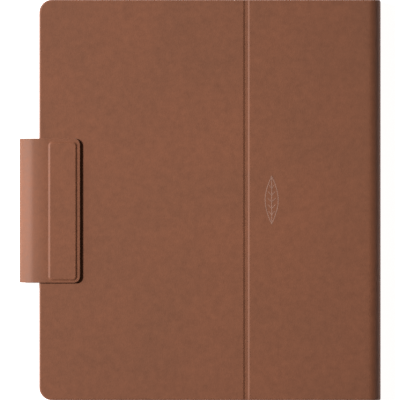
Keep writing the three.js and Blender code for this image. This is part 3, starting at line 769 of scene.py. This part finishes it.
def painted_light_falloff(s):
    """Painted shade: a tone a little darker towards the spine and the two ends than in the middle of the cover,
    standing in for the studio light falling off.
    """
    place = s.add("ShaderNodeUVMap", uv_map="place").outputs["UV"]
    split = s.add("ShaderNodeSeparateXYZ")
    s.link(place, split.inputs["Vector"])
    to_spine = s.ranged(split.outputs["X"], 35 * MM, 105 * MM, 1.0, 0.925)
    from_middle = s.math("ABSOLUTE", split.outputs["Y"], 0.0)
    ends = s.ranged(from_middle, 20 * MM, HALF_Y, 1.03, 0.96)
    return s.math("MULTIPLY", to_spine, ends)


def place_map(obj):
    """A map of each corner's place on the closed folio, in metres."""
    layer = obj.data.uv_layers.new(name="place")
    for loop in obj.data.loops:
        layer.data[loop.index].uv = obj.data.vertices[loop.vertex_index].co.xy


def leather_material(name, base, grain=1.0):
    """Fine matt leather: cloudy colour, small pores and a pebbled grain, with painted shade towards the spine and
    the ends.
    """
    s = Shader(name)
    clouds = s.noise(26, 3)
    mottle = s.noise(230, 6, 0.9)
    redder = (base[0] * 1.05, base[1] * 1.01, base[2])
    cloudy = s.mix(s.ranged(clouds, 0.3, 0.7), shade(base, 0.95), redder)
    spots = s.mix(s.ranged(mottle, 0.25, 0.75), (0.80,) * 3, (1.20,) * 3)
    # The colour is multiplied by painted shade that darkens the leather towards the spine and the two ends.
    s.colour(s.mix(1.0, s.mix(1.0, cloudy, spots, "MULTIPLY"), painted_light_falloff(s), "MULTIPLY"))
    pebble = s.cells(1500)
    pores = s.noise(5200, 2)
    coarse = s.bump(pebble, 0.22 * grain, 0.12 * MM)
    s.link(s.bump(pores, 0.15 * grain, 0.06 * MM, coarse), s.bsdf.inputs["Normal"])
    s.roughness(s.ranged(mottle, 0.3, 0.7, 0.56, 0.69))
    s.set(Specular_IOR_Level=0.36, Sheen_Weight=0.11, Sheen_Roughness=0.5)
    return s.material


def suede_material(name, base):
    """Short napped microsuede: brushed patches and fibres."""
    s = Shader(name)
    brushed = s.noise(70, 4, 0.6)
    fibres = s.noise(2600, 3, 0.8)
    tone = s.mix(s.ranged(brushed, 0.3, 0.7), shade(base, 0.92), shade(base, 1.06))
    s.colour(s.mix(s.ranged(fibres, 0.25, 0.75), shade(base, 0.72), tone))
    s.link(s.bump(fibres, 0.35, 0.12 * MM), s.bsdf.inputs["Normal"])
    s.roughness(0.95)
    s.set(Specular_IOR_Level=0.15, Sheen_Weight=0.25, Sheen_Roughness=0.5)
    return s.material


def board_material(name, base):
    """Pressed fibre board with flecks and layered edges."""
    s = Shader(name)
    flecks = s.noise(1800, 4, 0.7)
    layers = s.noise(300, 2, stretch=(0.05, 0.05, 12))
    tone = s.mix(s.ranged(layers, 0.35, 0.65), shade(base, 0.85), shade(base, 1.1))
    s.colour(s.mix(s.ranged(flecks, 0.35, 0.7), tone, shade(base, 0.7)))
    s.link(s.bump(flecks, 0.2, 0.1 * MM), s.bsdf.inputs["Normal"])
    s.roughness(0.9)
    return s.material


def plastic_material(name, base, rough, texture=1.0):
    """Moulded plastic with a fine spark-eroded texture and slight unevenness in its gloss."""
    s = Shader(name)
    grain = s.noise(3800, 2, 0.6)
    haze = s.noise(60, 3)
    s.colour(s.mix(s.ranged(haze, 0.35, 0.65), shade(base, 0.93), shade(base, 1.08)))
    s.link(s.bump(grain, 0.12 * texture, 0.05 * MM), s.bsdf.inputs["Normal"])
    s.roughness(s.ranged(haze, 0.3, 0.7, rough - 0.05, rough + 0.05))
    return s.material


def metal_material(name, base, rough, stretch=(1, 40, 1)):
    """Metal with fine rolling lines and faint stains."""
    s = Shader(name)
    lines = s.noise(220, 4, 0.6, stretch=stretch)
    stains = s.noise(120, 3)
    s.colour(s.mix(s.ranged(stains, 0.35, 0.7), base, shade(base, 0.86)))
    s.link(s.bump(lines, 0.1, 0.04 * MM), s.bsdf.inputs["Normal"])
    s.roughness(s.ranged(lines, 0.3, 0.7, rough - 0.06, rough + 0.08))
    s.set(Metallic=1.0)
    return s.material


def circuit_material(name, base):
    """Solder mask with copper tracks and pads showing faintly through."""
    s = Shader(name)
    tracks = s.cells(420, "DISTANCE_TO_EDGE", randomness=0.0)
    pads = s.cells(900, randomness=0.3)
    lit = s.math("LESS_THAN", tracks, 0.06)
    over_copper = (base[0] * 2.2 + 0.02, base[1] * 1.5 + 0.02, base[2] * 1.2)
    gold = (0.62, 0.45, 0.2)
    masked = s.mix(lit, base, over_copper)
    s.colour(s.mix(s.math("LESS_THAN", pads, 0.09), masked, gold))
    s.link(s.bump(tracks, 0.2, 0.04 * MM), s.bsdf.inputs["Normal"])
    s.roughness(0.4)
    return s.material


def cell_material(name, base):
    """Crimped foil and wrap of a flat lithium cell."""
    s = Shader(name)
    crinkle = s.noise(260, 5, 0.6)
    s.colour(s.mix(s.ranged(crinkle, 0.3, 0.7), shade(base, 0.8), shade(base, 1.3)))
    s.link(s.bump(crinkle, 0.35, 0.3 * MM), s.bsdf.inputs["Normal"])
    s.roughness(s.ranged(crinkle, 0.3, 0.7, 0.35, 0.55))
    return s.material


def epaper_material(name, base):
    """Matt electronic paper that shows a ruled page."""
    s = Shader(name)
    speckle = s.noise(6500, 2, 0.7)
    paper = s.mix(s.ranged(speckle, 0.3, 0.7), shade(base, 0.96), shade(base, 1.03))
    split = s.add("ShaderNodeSeparateXYZ")
    s.link(s.coords, split.inputs["Vector"])
    to_line = s.math("PINGPONG", split.outputs["Y"], RULE_PITCH / 2)
    ruled = s.math("LESS_THAN", to_line, RULE_LINE)
    s.colour(s.mix(ruled, paper, shade(base, 0.55)))
    s.roughness(0.85)
    s.set(Specular_IOR_Level=0.2)
    return s.material


def clear_material(name, base, alpha, rough):
    """A clear layer, with faint smudges in its gloss."""
    s = Shader(name)
    smudge = s.noise(70, 4)
    s.colour(s.mix(s.ranged(smudge, 0.3, 0.7), shade(base, 0.97), base))
    s.roughness(s.ranged(smudge, 0.3, 0.7, rough - 0.05, rough + 0.08))
    s.set(Alpha=alpha)
    return s.material


def flex_material(name, base):
    """Amber flexible circuit with conductors along it."""
    s = Shader(name)
    lines = s.noise(900, 1, 0.5, stretch=(0.05, 1, 0.05))
    s.colour(s.mix(s.ranged(lines, 0.45, 0.55), base, shade(base, 0.6)))
    s.link(s.bump(lines, 0.15, 0.05 * MM), s.bsdf.inputs["Normal"])
    s.roughness(0.35)
    return s.material


# One function for each of the record's material slots.
MATERIALS = {
    "cover_leather": lambda: leather_material("brown leather", LEATHER_RGB),
    "suede_lining": lambda: suede_material("brown microsuede", SUEDE_RGB),
    "cover_board": lambda: board_material("cover board", (0.36, 0.31, 0.25)),
    "magnet": lambda: metal_material("nickel plating", (0.62, 0.61, 0.58), 0.28, (1, 1, 1)),
    "screw_steel": lambda: metal_material("plain steel", (0.50, 0.51, 0.52), 0.35),
    "shield_can": lambda: metal_material("pressed shield", (0.58, 0.58, 0.57), 0.4, (30, 1, 1)),
    "rear_shell": lambda: plastic_material("slate shell", (0.030, 0.036, 0.046), 0.55),
    "front_frame": lambda: plastic_material("slate frame", (0.045, 0.052, 0.063), 0.42, 0.6),
    "cover_lens": lambda: clear_material("cover lens", (0.10, 0.11, 0.11), 0.08, 0.25),
    "border_mask": lambda: plastic_material("printed border", (0.014, 0.015, 0.017), 0.6, 0.3),
    "clear_film": lambda: clear_material("clear film", (0.12, 0.13, 0.13), 0.05, 0.2),
    "epaper": lambda: epaper_material("electronic paper", PAPER_RGB),
    "circuit_board": lambda: circuit_material("solder mask", (0.012, 0.09, 0.04)),
    "chassis": lambda: metal_material("cast chassis", (0.38, 0.39, 0.41), 0.5, (1, 1, 1)),
    "battery_cell": lambda: cell_material("cell wrap", (0.045, 0.048, 0.055)),
    "flex_cable": lambda: flex_material("flexible circuit", (0.42, 0.17, 0.03)),
    "black_plastic": lambda: plastic_material("black plastic", (0.012, 0.012, 0.014), 0.5),
}


def paint(obj, material):
    """Gives the whole object one material."""
    obj.data.materials.clear()
    obj.data.materials.append(material)


def geometry_group(name):
    """An empty geometry node group, with its first and last nodes."""
    group = bpy.data.node_groups.new(name, "GeometryNodeTree")
    for way in ("INPUT", "OUTPUT"):
        group.interface.new_socket("Geometry", in_out=way, socket_type="NodeSocketGeometry")
    return group, group.nodes.new("NodeGroupInput"), group.nodes.new("NodeGroupOutput")


def weld_group():
    """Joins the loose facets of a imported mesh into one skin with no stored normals."""
    group, first, last = geometry_group("weld")
    plain = group.nodes.new("GeometryNodeRemoveAttribute")
    plain.inputs["Name"].default_value = "custom_normal"
    merge = group.nodes.new("GeometryNodeMergeByDistance")
    merge.inputs["Distance"].default_value = WELD
    group.links.new(first.outputs[0], plain.inputs[0])
    group.links.new(plain.outputs[0], merge.inputs[0])
    group.links.new(merge.outputs[0], last.inputs[0])
    return group


def smoothing_group(degrees=30):
    """Shades everything smooth but the edges that turn more sharply than the given angle."""
    group, first, last = geometry_group("smoothing")
    faces = group.nodes.new("GeometryNodeSetShadeSmooth")
    edges = group.nodes.new("GeometryNodeSetShadeSmooth")
    edges.domain = "EDGE"
    turn = group.nodes.new("GeometryNodeInputMeshEdgeAngle")
    gentle = group.nodes.new("FunctionNodeCompare")
    gentle.operation = "LESS_THAN"
    gentle.inputs[1].default_value = math.radians(degrees)
    group.links.new(first.outputs[0], faces.inputs[0])
    group.links.new(faces.outputs[0], edges.inputs[0])
    group.links.new(turn.outputs["Unsigned Angle"], gentle.inputs[0])
    group.links.new(gentle.outputs[0], edges.inputs["Shade Smooth"])
    group.links.new(edges.outputs[0], last.inputs[0])
    return group


def paint_cad_nodes(made):
    """Each CAD node that stays in view gets its slot's material and softened edges."""
    weld, smoothing = weld_group(), smoothing_group()
    for part in frame["record"]["subparts"]:
        obj = frame["nodes"][part["node"]]
        if obj.hide_render:
            continue
        paint(obj, made[part["material_slot"]])
        low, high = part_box(part["node"])
        thinnest = min(high - low)
        obj.modifiers.new("weld", "NODES").node_group = weld
        bevel = obj.modifiers.new("soft edges", "BEVEL")
        bevel.width = min(SOFT_EDGE, thinnest * 0.2)
        bevel.segments = 2
        bevel.limit_method = "ANGLE"
        bevel.angle_limit = math.radians(40)
        obj.modifiers.new("smoothing", "NODES").node_group = smoothing


# ---- Camera, light and floor --------------------------------------------------------------------
def camera():
    """Straight above the folio, far away and with a long lens."""
    data = bpy.data.cameras.new("camera")
    data.lens = LENS
    data.sensor_width = SENSOR
    data.clip_end = 20
    obj = bpy.data.objects.new("camera", data)
    obj.location = (0, 0, TOP_Z + VIEW_SPAN * LENS / SENSOR)
    bpy.context.scene.collection.objects.link(obj)
    bpy.context.scene.camera = obj


def area_light(name, place, size, power):
    """A rectangular soft light that faces the folio."""
    data = bpy.data.lights.new(name, "AREA")
    data.shape = "RECTANGLE"
    data.size, data.size_y = size
    data.energy = power
    obj = bpy.data.objects.new(name, data)
    obj.location = place
    obj.rotation_euler = (-Vector(place)).to_track_quat("-Z", "Y").to_euler()
    bpy.context.scene.collection.objects.link(obj)


def lights():
    """A key light from the upper left, a weak low one from the left, and a faint warm world."""
    area_light("key", *KEY_LIGHT)
    area_light("side", *SIDE_LIGHT)
    world = bpy.data.worlds.new("studio")
    world.use_nodes = True
    background = world.node_tree.nodes["Background"]
    background.inputs["Color"].default_value = WORLD_RGB
    background.inputs["Strength"].default_value = WORLD_STRENGTH
    bpy.context.scene.world = world


def floor():
    """A pale studio floor that glows a little, so that it stays white round the folio."""
    bm = bmesh.new()
    bmesh.ops.create_grid(bm, x_segments=8, y_segments=8, size=FLOOR_HALF)
    obj = object_of("floor", bm)
    obj.location.z = -FLOOR_DROP
    s = Shader("pale floor")
    s.colour(s.mix(s.ranged(s.noise(3, 2), 0.3, 0.7), (0.86, 0.86, 0.86), (0.88, 0.88, 0.88)))
    s.roughness(0.9)
    s.set(Emission_Color=(1, 1, 1, 1), Emission_Strength=FLOOR_GLOW, Specular_IOR_Level=0.1)
    paint(obj, s.material)


# ---- Putting it together ------------------------------------------------------------------------
bpy.context.scene.view_settings.view_transform = "Standard"
camera()
lights()
floor()

made = {slot: build() for slot, build in MATERIALS.items()}
leathers = [back_leather(), spine_front_leather(), front_leather()]
linings = lining_skins()
for obj in leathers + flap_leathers():
    place_map(obj)
    paint(obj, made["cover_leather"])
for obj in linings + flap_linings():
    paint(obj, made["suede_lining"])
mark = cover_mark()
place_map(mark)
paint(mark, leather_material("pale leather", MARK_RGB, 0.4))
screen = screen_layers()
paint(screen, made["cover_lens"])
paint_cad_nodes(made)
